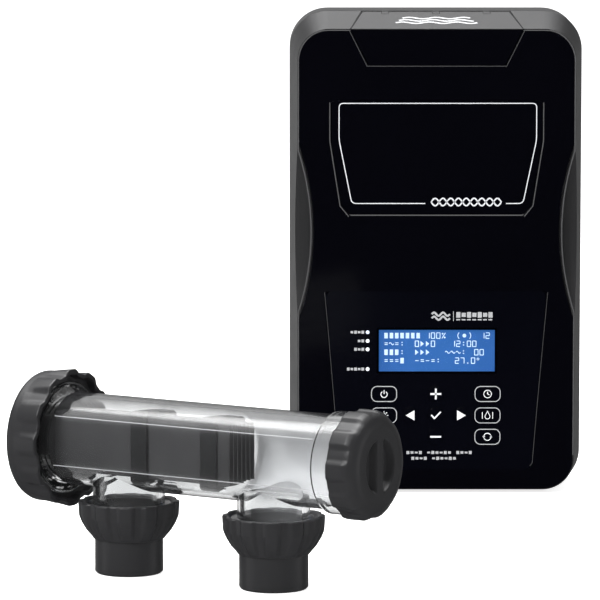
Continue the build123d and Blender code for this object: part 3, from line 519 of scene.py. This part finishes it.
def clear_moulding(name):
    """Clear moulded plastic, with painted shade: dark where it is seen edge-on and along its top; and painted
    pale light on its far wall, most past the plates' end.
    """
    paint = Paint(name, Transmission_Weight=1.0, IOR=1.49, Roughness=0.015, Base_Color=(0.95, 0.96, 0.965))
    middle = (CELL_MID.x, CELL_MID.y, 0.0)
    x, y, z = paint.axes(paint.place((1.0, 1.0, 1.0), -CELL_TURN, middle))
    flow = paint.noise(26.0, 2.0, paint.place((0.25, 1.0, 1.0), -CELL_TURN, middle))
    paint.bump(flow, 0.0005, 0.4)
    kind = "ShaderNodeBsdfPrincipled"
    # pale: a whitish shader mixed in as painted light, so the far wall looks pale
    pale = paint.node(kind, values={"Roughness": 0.3, "Base Color": (0.47, 0.475, 0.485)})
    # dark: a near-black shader mixed in as painted shade
    dark = paint.node(kind, values={"Roughness": 0.15, "Base Color": (0.025, 0.025, 0.027)})
    # chamber and far_side place the painted pale light: the tube's far half, strongest past the plates' end
    chamber = x.step(0.030, 0.036) * z.step(0.062, 0.075)
    far_side = y.step(0.004, 0.02)
    # a faint haze streaked by the flow noise, plus the painted pale light on the far half
    amount = 0.006 + 0.012 * flow + far_side * (0.05 + 0.62 * chamber)
    clear = paint.shader.outputs[0]
    both = paint.node("ShaderNodeMixShader", values={0: amount, 1: clear, 2: pale.outputs[0]})
    # painted shade: dark where the surface is seen edge-on, and a dark band along the tube's top
    facing = paint.node("ShaderNodeLayerWeight", values={"Blend": 0.5}).outputs["Facing"]
    painted_dark_share = Value(paint, facing).step(0.66, 0.9) * 0.7 + z.step(0.1335, 0.139) * 0.28
    both = paint.node("ShaderNodeMixShader", values={0: painted_dark_share, 1: both.outputs[0], 2: dark.outputs[0]})
    output = next(n for n in paint.tree.nodes if n.type == "OUTPUT_MATERIAL")
    paint.put(output, "Surface", both.outputs[0])
    return paint.material


def lit_display(name):
    """Backlit blue glass: brightest in the middle, with the fine grid of the dots."""
    paint = Paint(name, Roughness=0.3, Emission_Strength=1.0)
    x, _, z = paint.axes(paint.place(origin=(MID_X, 0.0, 0.1275)))
    grid = (x * 7000.0).sine().step(0.6, 1.0) * 0.12 + (z * 7000.0).sine().step(0.6, 1.0) * 0.12
    edge = x.size().step(0.02, 0.055)
    blue = paint.mix(edge, (0.034, 0.145, 0.42), (0.028, 0.12, 0.37))
    paint.put(paint.shader, "Base Color", (0.01, 0.03, 0.1))
    paint.put(paint.shader, "Emission Color", paint.mix(grid, blue, (0.022, 0.09, 0.28)))
    return paint.material


def glowing(name, colour, strength):
    """A lit character: even colour with a faint unevenness."""
    paint = Paint(name, Roughness=0.4, Emission_Strength=strength)
    shade = paint.mix(paint.noise(300.0), colour, tuple(0.85 * c for c in colour))
    paint.put(paint.shader, "Base Color", (0.3, 0.35, 0.4))
    paint.put(paint.shader, "Emission Color", shade)
    return paint.material


def light_pipes(name):
    """Clear light pipes: the top one glows pale blue, the others white."""
    paint = Paint(name, Roughness=0.25, Emission_Strength=1.0)
    _, _, z = paint.axes()
    tint = paint.mix(z.step(0.1395, 0.1415), (0.75, 0.78, 0.8), (0.22, 0.38, 0.62))
    paint.put(paint.shader, "Base Color", (0.6, 0.62, 0.65))
    paint.put(paint.shader, "Emission Color", tint)
    return paint.material


def printed(name, low, high, rough=0.5):
    """Printed ink or foil with a slightly uneven lay."""
    paint = Paint(name)
    lay = paint.noise(260.0, 3.0)
    paint.put(paint.shader, "Base Color", paint.mix(lay, low, high))
    paint.put(paint.shader, "Roughness", rough + 0.1 * lay)
    return paint.material


def window(name):
    """Thin clear window."""
    paint = Paint(name, Transmission_Weight=1.0, IOR=1.3, Base_Color=(0.92, 0.96, 1.0))
    paint.put(paint.shader, "Roughness", 0.02 + 0.03 * paint.noise(40.0))
    return paint.material


FINISHES = {
    "case_charcoal": satin("case_charcoal", (0.015, 0.015, 0.016), (0.02, 0.02, 0.021), 0.36, 0.00006,
                           specular=0.45),
    "fascia_black": gloss("fascia_black", (0.0008, 0.0008, 0.0016), (0.0012, 0.0012, 0.0022), 0.06, 0.1),
    "keypad_black": gloss("keypad_black", (0.0009, 0.001, 0.0022), (0.0014, 0.0015, 0.003), 0.12, 0.1),
    "display_glass": window("display_glass"),
    "display_blue": lit_display("display_blue"),
    "light_clear": light_pipes("light_clear"),
    "union_black": satin("union_black", (0.0155, 0.0155, 0.0165), (0.02, 0.02, 0.0215), 0.38, 0.00007,
                         900.0, 0.28),
    "clear_housing": clear_moulding("clear_housing"),
    "plate_grey": electrode_coat("plate_grey"),
    "spacer_black": satin("spacer_black", (0.003, 0.003, 0.0035), (0.006, 0.006, 0.007), 0.5, 0.00005,
                          specular=0.25),
    "seal_rubber": satin("seal_rubber", (0.012, 0.012, 0.012), (0.02, 0.02, 0.02), 0.7, 0.00008, 700.0, 0.3),
    "titanium": metal("titanium", (0.38, 0.36, 0.34), (0.52, 0.5, 0.47), 0.3),
    "zinc_steel": metal("zinc_steel", (0.5, 0.51, 0.53), (0.66, 0.66, 0.64), 0.32, (1.0, 1.0, 0.12)),
    "board_green": board("board_green"),
    "core_steel": laminated("core_steel"),
    "copper_winding": winding("copper_winding"),
    "sink_aluminium": metal("sink_aluminium", (0.6, 0.61, 0.63), (0.76, 0.77, 0.79), 0.35, (1.0, 1.0, 0.05)),
    "part_black": satin("part_black", (0.018, 0.018, 0.019), (0.03, 0.03, 0.032), 0.42, 0.00005),
    "part_green": satin("part_green", (0.03, 0.22, 0.08), (0.045, 0.28, 0.11), 0.4, 0.00005),
    "gland_grey": satin("gland_grey", (0.07, 0.07, 0.074), (0.09, 0.09, 0.094), 0.45, 0.00006),
}
WHITE_INK = printed("white_ink", (0.62, 0.63, 0.65), (0.74, 0.75, 0.76))
# Grey ink for the print, also used for the clear tube's painted reflections.
GREY_INK_AND_REFLECTION_PAINT = printed("grey_ink_and_painted_reflection", (0.3, 0.305, 0.315), (0.38, 0.385, 0.395))
# Painted highlight: grey lines where the flap's edge and the keypad's creases catch the light.
EDGE_HIGHLIGHT_PAINT = printed("painted_edge_highlight", (0.028, 0.028, 0.03), (0.038, 0.038, 0.04))
# Painted highlight: lighter grey lines along the frame's lit lip and the badge recess's edges.
LIP_HIGHLIGHT_PAINT = printed("painted_lip_highlight", (0.045, 0.045, 0.047), (0.06, 0.06, 0.062))
SILVER_FOIL = printed("silver_foil", (0.5, 0.51, 0.53), (0.62, 0.63, 0.65), 0.3)
CHARACTER_GLOW = glowing("character_glow", (0.66, 0.82, 0.98), 1.0)

for part in frame["record"]["subparts"]:
    node = frame["nodes"][part["node"]]
    finish = FINISHES[part["material_slot"]]
    if not node.material_slots:
        node.data.materials.append(finish)
    for place_in_mesh in node.material_slots:
        place_in_mesh.material = finish


# ---------------------------------------------------------------- cell pieces
def nut_place(port):
    """Along the nut's axis is up; the lobes turn about the port."""
    return lambda along, a, b: in_cell(port + a, b, along + 0 * a)


def tube_place(along, a, b):
    """Along is the tube's axis."""
    return in_cell(along + 0 * a, a, AXIS_Z + b)


UNION = FINISHES["union_black"]
for side, port in (("inlet", -PORT_X), ("outlet", PORT_X)):
    wave = (NUT_LOBES, NUT_LOBE, NUT_SHARE, NUT_FLANK)
    spun_ring(f"{side}_nut_look", NUT_PROFILE, *wave, nut_place(port), UNION, f"{side}_nut", f"{side}_nut")
wave = (COLLAR_LOBES, COLLAR_LOBE, COLLAR_SHARE, COLLAR_FLANK)
spun_ring("collar_look", COLLAR_PROFILE, *wave, tube_place, UNION, "collar", "locking_collar")
cap_piece(UNION)


# ---------------------------------------------------------------- controller marks
def badge_marks():
    """A silver line round the badge panel, open at its lower right for a plain wave device."""
    marks = Marks(on_face(1.5))
    low, waist, top = 258.9, 315.3, 347.7
    right = [(61.6, low), (76.6, low), (88.3, waist), (88.3, top)]
    left = [(-86.2, top), (-86.2, waist), (-74.9, low), (-9.9, low)]
    marks.stroke(rounded(np.array(right + left), 4.0, False, 5), 0.85)
    marks.stroke(ripple(26.4, 260.2, 62.0, 6.6, 4.5, 120), 1.25)
    marks.stroke(ripple(26.4, 260.2, 62.0, -6.6, 4.5, 120), 1.25)
    marks.piece("badge_line", "controller", SILVER_FOIL)


def flap_marks():
    """A plain wave emblem, and a painted shadow along the seam round it, at start + right x side + high x up
    + above x out.
    """
    start = np.array([MID_X, FACE_Y + 1.0 * MM, FLAP_FOOT_Z * MM])
    slope = np.hypot(FLAP_SLOPE_RUN, FLAP_SLOPE_RISE)
    side = np.array([1.0, 0.0, 0.0])
    up = np.array([0.0, FLAP_SLOPE_RUN, FLAP_SLOPE_RISE]) / slope
    out = np.array([0.0, -FLAP_SLOPE_RISE, FLAP_SLOPE_RUN]) / slope

    def place(right, high, above):
        right, high, above = (a[..., None] for a in np.broadcast_arrays(right, high, above))
        return start + MM * (right * side + high * up + above * out)

    marks = Marks(place)
    for i in range(3):
        marks.stroke(ripple(0.0, 14.0 + 5.4 * i, 72.0 - 6.0 * i, 3.4, 3 - 0.25 * i, 90), 2.3)
    marks.piece("flap_emblem", "flap", WHITE_INK)
    # painted shadow: a dark stroke in the fascia's black along the flap's sides and top
    seam = Marks(place, 0.04, -0.04)
    seam.stroke([(-75.9, 0.6), (-65.3, 39.8), (65.3, 39.8), (75.9, 0.6)], 1.3)
    seam.piece("flap_seam_shadow", "flap", FINISHES["fascia_black"])


def display_marks():
    """Four rows of lit figures, bars and symbols on the display."""
    marks = Marks(on_face(4.2), 0.08, -0.02)
    rows = (
        (138.3, ("|||||||", -45.8), ("100%", -8.9), ("(*)", 19.0), ("12", 39.7)),
        (131.0, ("=~=:", -45.8), ("0>>0", -18.4), ("12:00", 13.6)),
        (123.4, ("|||:", -45.8), (">>>", -18.4), ("~~~:", 8.8), ("00", 34.4)),
        (115.9, ("===|", -45.8), ("-=-=:", -18.4), ("27.0'", 17.3)),
    )
    for z, *words in rows:
        for text, x in words:
            marks.digits(text, x, z, 4.75, 3.1, 5.0, 0.7)
    marks.piece("display_figures", "controller", CHARACTER_GLOW)


def block(marks, x, z, width, height):
    """A small filled rectangle from its left end."""
    low, high = z - height / 2, z + height / 2
    marks.spot([(x, low), (x + width, low), (x + width, high), (x, high)])


def keypad_marks():
    """Level marks beside the lights, a wave device over the display and two rows of blocks at the foot."""
    marks = Marks(on_face(0.0), 0.04, -0.04)
    for z, count in LIGHT_ROWS:
        for i in range(count):
            block(marks, -66.2 - 3.2 * i, z, 2.4, 2.7 - 0.7 * (i % 2))
    for i in range(2):
        marks.stroke(ripple(4.2, 156.8 + 3.6 * i, 16.0, 3.0, 2, 40), 1.7)
    marks.stroke([(15.4, 154.2), (15.4, 163.0)], 0.5)
    for i in range(7):
        block(marks, 17.9 + 4.75 * i, 159.8, 3.7, 5.0 - 1.3 * (i % 2))
        marks.stroke([(17.9 + 4.75 * i, 155.5), (21.3 + 4.75 * i, 155.5)], 1.2)
    for z, left, right in ((36.4, -26.0, 30.0), (31.2, -21.6, 21.9)):
        for i, x in enumerate(np.arange(left, right, 3.7)):
            if i % 7 != 4:
                block(marks, x, z, 2.6, 2.8 - 0.6 * (i % 3))
    marks.piece("keypad_print", "controller", GREY_INK_AND_REFLECTION_PAINT)


def flap_seam():
    """Painted highlights: the lit edge of the fascia round the flap's front, and the lit creases at the
    keypad's sides.
    """
    marks = Marks(on_face(0.0), 0.03, -0.04)
    # painted highlight along the fascia's lit edge round the flap
    path = [(-77.4, 412.4), (-61.5, 380.6), (61.5, 380.6), (77.4, 412.4)]
    marks.stroke(path, 0.7)
    marks.stroke([(-98.9, 180.0), (-95.2, 140.0), (-90.2, 80.0), (-85.7, 26.0)], 0.55)
    marks.stroke([(98.9, 180.0), (95.2, 138.0), (90.2, 80.0), (85.9, 27.0), (83.8, 24.2)], 0.55)
    marks.piece("flap_seam_highlight", "controller", EDGE_HIGHLIGHT_PAINT)


def painted_edge_highlights():
    """Painted highlights on lit edges: the frame's lip, an arc inwards at each finger scoop, and the sides of
    the badge's recess.
    """
    marks = Marks(on_face(0.0), 0.03, -0.04)
    centre = SCOOP_ARC_R + SCOOP_REACH
    half = np.sqrt(SCOOP_ARC_R**2 - (centre - LIP_X) ** 2)
    scoop_z = SCOOP_MID_Z + np.linspace(half, -half, 41)
    scoop_x = centre - np.sqrt(SCOOP_ARC_R**2 - (scoop_z - SCOOP_MID_Z) ** 2)
    for side in (-1, 1):
        upper = arc(LIP_X - LIP_R, LIP_CORNER_Z, LIP_R, 80.0, 0.0, 16)
        outline = np.concatenate([upper, np.stack([scoop_x, scoop_z], -1), [(LIP_X, LIP_END_Z)]])
        marks.stroke(outline * (side, 1), 1.1)
        recess = [(94.4, 348.5), (94.4, 314.6), (85.3, 256.8), (77.6, 247.4)]
        marks.stroke([(side * x, z) for x, z in recess], 0.9)
    marks.piece("painted_edge_highlights", "controller", LIP_HIGHLIGHT_PAINT)


def housing_painted_reflections():
    """Two painted reflections: pale lines along the front of the clear tube, at (along, angle, out) round its
    axis.
    """
    def place(along, angle, out):
        along, angle, out = np.broadcast_arrays(along, angle, out)
        radius = TUBE_R + out
        return in_cell(along, -radius * np.cos(angle), AXIS_Z + radius * np.sin(angle))

    marks = Marks(place, 0.05, -0.05)
    # each line is a painted reflection of light in the tube's walls
    for angle in (0.62, -0.5):
        block(marks, -120.0, angle, 244.0, 0.018)
    marks.piece("housing_painted_reflections", "cell", GREY_INK_AND_REFLECTION_PAINT)


def keypad_closing():
    """The keypad's top and bottom edges, filled level with the fascia."""
    marks = Marks(on_face(0.0), 0.02, -0.04)
    for half, z in (KEYPAD_TOP, KEYPAD_LOW):
        marks.stroke([(-half, z), (half, z)], 2.6)
    marks.piece("keypad_closing", "controller", FINISHES["fascia_black"])


def power_icon(marks, x, z):
    """A ring open at the top, with an upright bar."""
    marks.stroke(arc(x, z - 0.3, 2.8, 125, 415, 24), 0.7)
    marks.stroke([(x, z), (x, z + 3.4)], 0.7)


def lights_icon(marks, x, z):
    """A small ring with eight rays."""
    marks.stroke(arc(x, z, 1.6, steps=19)[:-1], 0.6, True)
    for k in range(8):
        t = radians(45 * k)
        marks.stroke([(x + 2.5 * cos(t), z + 2.5 * sin(t)), (x + 3.8 * cos(t), z + 3.8 * sin(t))], 0.6)


def spa_icon(marks, x, z):
    """Three ripples, one above the other."""
    for k in (-1, 0, 1):
        marks.stroke(ripple(x, z + 2.0 * k, 9.0, 1.4, 2, 24), 0.6)


def timer_icon(marks, x, z):
    """A ring with two hands."""
    marks.stroke(arc(x, z, 3.4, steps=29)[:-1], 0.6, True)
    marks.stroke([(x, z + 2.2), (x, z), (x + 1.6, z - 0.9)], 0.6)


def salt_icon(marks, x, z):
    """A drop between two bars."""
    drop = np.concatenate([arc(x, z - 1.0, 2.2, -215, 35, 22), [(x, z + 3.8)]])
    marks.stroke(drop, 0.6, True)
    marks.stroke([(x + 4.6, z - 3.0), (x + 4.6, z + 3.0)], 0.6)
    marks.stroke([(x - 4.6, z - 3.0), (x - 4.6, z + 3.0)], 0.6)


def filter_icon(marks, x, z):
    """Two arcs of a ring, each with an arrowhead."""
    marks.stroke(arc(x, z, 3.2, 30, 190, 16), 0.65)
    marks.stroke(arc(x, z, 3.2, 210, 370, 16), 0.65)
    marks.spot([(x - 4.4, z + 0.6), (x - 2.0, z + 0.6), (x - 3.2, z - 1.4)])
    marks.spot([(x + 4.4, z - 0.6), (x + 2.0, z - 0.6), (x + 3.2, z + 1.4)])


def plus_icon(marks, x, z):
    """Two crossed bars."""
    marks.stroke([(x - 4.85, z), (x + 4.85, z)], 1.6)
    marks.stroke([(x, z + 4.85), (x, z - 4.85)], 1.6)


def minus_icon(marks, x, z):
    """One level bar."""
    marks.stroke([(x - 4.85, z), (x + 4.85, z)], 1.6)


def left_icon(marks, x, z):
    """A triangle pointing left."""
    marks.spot([(x - 4.2, z), (x + 3.7, z - 4.55), (x + 3.7, z + 4.55)])


def right_icon(marks, x, z):
    """A triangle pointing right."""
    marks.spot([(x + 4.2, z), (x - 3.7, z + 4.55), (x - 3.7, z - 4.55)])


def ok_icon(marks, x, z):
    """A tick."""
    tick = np.array([(x - 4.0, z + 0.4), (x - 1.2, z - 2.8), (x + 4.4, z + 3.2)])
    marks.stroke(rounded(tick, 0.4, False), 1.3)


KEY_ICONS = {
    "key_power": power_icon, "key_lights": lights_icon, "key_spa": spa_icon, "key_timer": timer_icon,
    "key_salt_test": salt_icon, "key_filter_clean": filter_icon, "key_plus": plus_icon,
    "key_minus": minus_icon, "key_left": left_icon, "key_right": right_icon, "key_ok": ok_icon,
}


def key_marks():
    """Each key's own sign, and a fine line round the oval ones, moving with the key."""
    for name, icon in KEY_ICONS.items():
        low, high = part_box(name)
        x = ((low.x + high.x) / 2 - MID_X) / MM
        z = (low.z + high.z) / 2 / MM
        marks = Marks(on_face((low.y - FACE_Y) / MM), 0.04, -0.04)
        icon(marks, x, z)
        marks.piece(name + "_sign", name, WHITE_INK)
        if (high.x - low.x) / MM > 20:
            line = Marks(on_face((low.y - FACE_Y) / MM), 0.03, -0.04)
            line.stroke(pill(x, z, 22.3, 13.5, 4.9), 0.75, True)
            line.piece(name + "_line", name, GREY_INK_AND_REFLECTION_PAINT)


badge_marks()
flap_marks()
display_marks()
keypad_marks()
flap_seam()
keypad_closing()
painted_edge_highlights()
housing_painted_reflections()
key_marks()

# ---------------------------------------------------------------- stage, lights and camera
bpy.ops.mesh.primitive_plane_add(size=60, location=(0, 0, -0.0005))
floor = bpy.context.object
floor.name = "floor"
floor.visible_glossy = False
floor.visible_transmission = False
floor_paint = Paint(
    "floor", Roughness=0.9, Specular_IOR_Level=0.0, Emission_Color=(1.0, 1.0, 1.0), Emission_Strength=0.8
)
floor_tone = floor_paint.mix(floor_paint.noise(3.0), (0.93,) * 3, (0.95,) * 3)
floor_paint.put(floor_paint.shader, "Base Color", floor_tone)
floor.data.materials.append(floor_paint.material)

frame["nodes"]["cell_housing"].visible_shadow = False
frame["nodes"]["display_lens"].visible_shadow = False


def square_lamp(name, place, aim, size, power):
    """A square soft light that points at a spot."""
    light = bpy.data.lights.new(name, "AREA")
    light.energy, light.size = power, size
    lamp = bpy.data.objects.new(name, light)
    lamp.location = place
    lamp.rotation_euler = (Vector(aim) - Vector(place)).to_track_quat("-Z", "Y").to_euler()
    bpy.context.scene.collection.objects.link(lamp)
    return lamp


key_light = square_lamp("key_light", (-1.6, -2.2, 2.4), (0, 0, 0.2), 1.4, 95.0)
top_light = square_lamp("top_light", (-0.4, 0.5, 3.0), (0, 0, 0.2), 2.2, 70.0)

world = bpy.data.worlds.new("studio")
world.use_nodes = True
bpy.context.scene.world = world
sky = Paint("studio", world.node_tree)
sky_output = next(n for n in world.node_tree.nodes if n.type == "OUTPUT_WORLD")
ray = sky.node("ShaderNodeLightPath")
camera_ray, glossy_ray = Value(sky, ray.outputs["Is Camera Ray"]), Value(sky, ray.outputs["Is Glossy Ray"])
through_ray = Value(sky, ray.outputs["Is Transmission Ray"])
toward = sky.node("ShaderNodeTexCoord").outputs["Generated"]
dx, dy, dz = sky.axes(toward)
overhead = dz.step(0.8, 0.93) * (dy + 0.35).step(0.0, 0.25) * 8.0
upper_back = dz.step(0.5, 0.72) * (1.0 - dz.step(0.8, 0.93)) * (dy + 0.25).step(0.0, 0.4) * (1.7 - 1.2 * dx)
behind = dy.step(0.45, 0.9) * (1.0 - dz.size().step(0.15, 0.6)) * (0.34 - 0.3 * dx)
sides = dx.size().step(0.93, 0.99) * 0.9
glossy_level = 0.012 + overhead + upper_back + behind + sides
through_level = 0.06 + 0.94 * dy.step(-0.15, 0.15)
plain_level = 0.62
level = glossy_ray * glossy_level + (1.0 - glossy_ray) * plain_level
level = through_ray * through_level + (1.0 - through_ray) * level
level = camera_ray + (1.0 - camera_ray) * level
backdrop = sky.node("ShaderNodeBackground", values={"Strength": level, "Color": (1.0, 1.0, 1.0)})
sky.put(sky_output, "Surface", backdrop.outputs[0])

camera = bpy.data.cameras.new("camera")
camera.lens, camera.sensor_width = 286.6, 36.0
camera.clip_start, camera.clip_end = 0.1, 60.0
viewer = bpy.data.objects.new("camera", camera)
viewer.location = (MID_X - 0.1207, FACE_Y - 4.206, 0.6694)
viewer.rotation_euler = (radians(90.0 - 6.73), 0.0, 0.0)
bpy.context.scene.collection.objects.link(viewer)
bpy.context.scene.camera = viewer
bpy.context.scene.view_settings.view_transform = "Standard"
